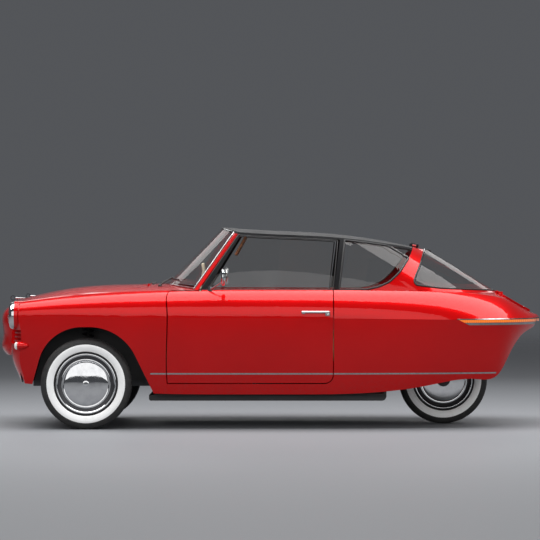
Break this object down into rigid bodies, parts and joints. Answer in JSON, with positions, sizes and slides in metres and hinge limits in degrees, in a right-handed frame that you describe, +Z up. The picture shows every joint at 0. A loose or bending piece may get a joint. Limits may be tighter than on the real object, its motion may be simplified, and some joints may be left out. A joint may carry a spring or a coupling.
{
  "type": "three-wheeled car",
  "caption": "Small red coupe with steered front wheels, a single rear wheel, hinged doors, bonnet and boot lid, dark roof and wraparound rear window.",
  "frame": {"origin": "on the ground, midway between the nose and the tail and between the two sides", "axes": "+X forward, +Y the car's left, +Z up"},
  "size_m": [3.6504, 1.636, 1.3371],
  "materials": {
    "paint": "gloss red",
    "chrome": "bright",
    "glass": "clear",
    "lamp": "orange lens",
    "dark_roof": "gloss black",
    "black": "satin black",
    "trim": "dark brown",
    "leather": "tan",
    "tyre": "black with a white band",
    "steel": "grey"
  },
  "bodies": {
    "chassis": {"arch_liners": "black", "battery_pack": "black", "body_trims": "chrome", "brake_lamp_pod": "lamp", "dashboard": "trim", "door_posts": "dark_roof", "firewall": "black", "floor_pan": "black", "front_body": "paint", "front_subframe": "black", "headlamp_lenses": "glass", "headlamp_rings": "chrome", "indicator_lenses": "glass", "indicator_pods": "paint", "intake_slats": "paint", "quarter_windows": "glass", "rear_body": "paint", "rear_bulkhead": "black", "rear_window": "glass", "roof_hoop": "paint", "roof_panel": "dark_roof", "seat_left": "leather", "seat_right": "leather", "steering_wheel": "trim", "swing_arm": "black", "tail_lamp": "lamp", "tail_trims": "chrome", "windscreen": "glass", "windscreen_posts": "paint", "wing_ornaments": "chrome"},
    "door_left": {"door_glass_left": "glass", "door_handle_left": "chrome", "door_left": "paint", "door_trim_left": "chrome", "mirror_left": "chrome"},
    "door_right": {"door_glass_right": "glass", "door_handle_right": "chrome", "door_right": "paint", "door_trim_right": "chrome", "mirror_right": "chrome"},
    "bonnet": {"bonnet": "paint"},
    "boot_lid": {"boot_lid": "paint"},
    "knuckle_left": {"knuckle_left": "black"},
    "knuckle_right": {"knuckle_right": "black"},
    "wheel_left": {"hubcap_front_left": "chrome", "rim_front_left": "steel", "tyre_front_left": "tyre"},
    "wheel_right": {"hubcap_front_right": "chrome", "rim_front_right": "steel", "tyre_front_right": "tyre"},
    "wheel_rear": {"hubcap_rear": "chrome", "rim_rear": "steel", "tyre_rear": "tyre"}
  },
  "joints": [
    {"name": "door_left_hinge", "type": "hinge", "parent": "chassis", "child": "door_left", "pos_m": [0.587, 0.74, 0.6], "axis": [0, 0, -1], "range_deg": [0, 65]},
    {"name": "door_right_hinge", "type": "hinge", "parent": "chassis", "child": "door_right", "pos_m": [0.587, -0.74, 0.6], "axis": [0, 0, 1], "range_deg": [0, 65]},
    {"name": "bonnet_hinge", "type": "hinge", "parent": "chassis", "child": "bonnet", "pos_m": [0.8165, 0, 0.948], "axis": [0, -1, 0], "range_deg": [0, 60]},
    {"name": "boot_lid_hinge", "type": "hinge", "parent": "chassis", "child": "boot_lid", "pos_m": [-1.5365, 0, 0.901], "axis": [0, 1, 0], "range_deg": [0, 60]},
    {"name": "steer_left", "type": "hinge", "parent": "chassis", "child": "knuckle_left", "pos_m": [1.209, 0.59, 0.3], "axis": [0, 0, 1], "range_deg": [-30, 30]},
    {"name": "steer_right", "type": "hinge", "parent": "chassis", "child": "knuckle_right", "pos_m": [1.209, -0.59, 0.3], "axis": [0, 0, 1], "range_deg": [-30, 30]},
    {"name": "wheel_left_spin", "type": "hinge", "parent": "knuckle_left", "child": "wheel_left", "pos_m": [1.209, 0.665, 0.3], "axis": [0, 1, 0], "continuous": true},
    {"name": "wheel_right_spin", "type": "hinge", "parent": "knuckle_right", "child": "wheel_right", "pos_m": [1.209, -0.665, 0.3], "axis": [0, 1, 0], "continuous": true},
    {"name": "wheel_rear_spin", "type": "hinge", "parent": "chassis", "child": "wheel_rear", "pos_m": [-1.179, 0, 0.3], "axis": [0, 1, 0], "continuous": true}
  ],
  "couplings": [
    {"joint": "steer_right", "follows": "steer_left", "ratio": 1}
  ]
}
